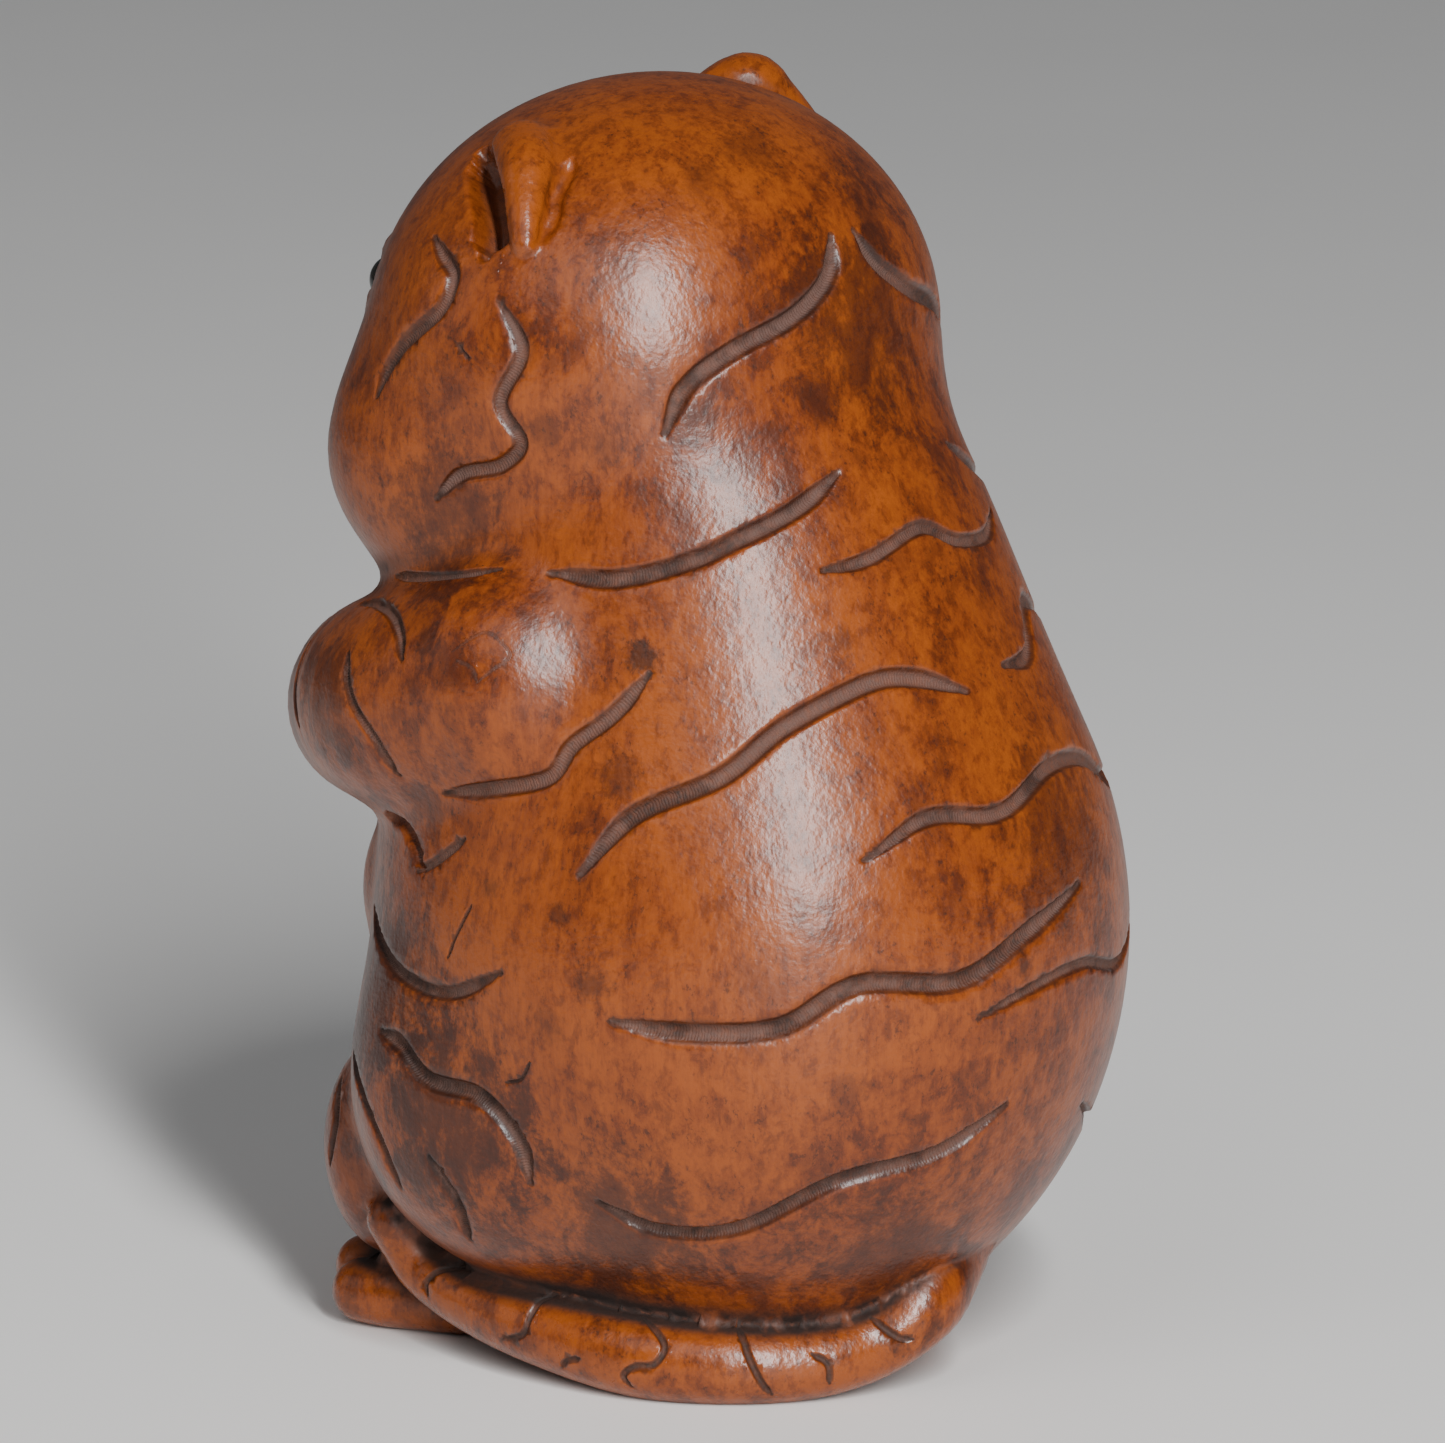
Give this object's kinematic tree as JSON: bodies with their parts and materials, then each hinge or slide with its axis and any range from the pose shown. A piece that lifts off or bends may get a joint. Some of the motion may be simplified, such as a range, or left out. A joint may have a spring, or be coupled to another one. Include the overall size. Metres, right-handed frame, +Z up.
{
  "type": "cat carving",
  "caption": "Round seated cat carved in polished boxwood, with stripe grooves, a tail wrapped along the floor and inlaid dark horn eyes.",
  "frame": {"origin": "middle of the bounding box in plan, on the flat underside", "axes": "+Z up, the cat faces -Y, its left side is +X"},
  "size_m": [0.0368, 0.0426, 0.062],
  "materials": {
    "boxwood": "dense boxwood, stained warm orange brown and polished, with darker grooves and mottled patina",
    "dark_horn": null
  },
  "bodies": {
    "root": {"cat_carving": "boxwood", "left_eye": "dark_horn", "right_eye": "dark_horn"}
  },
  "joints": []
}
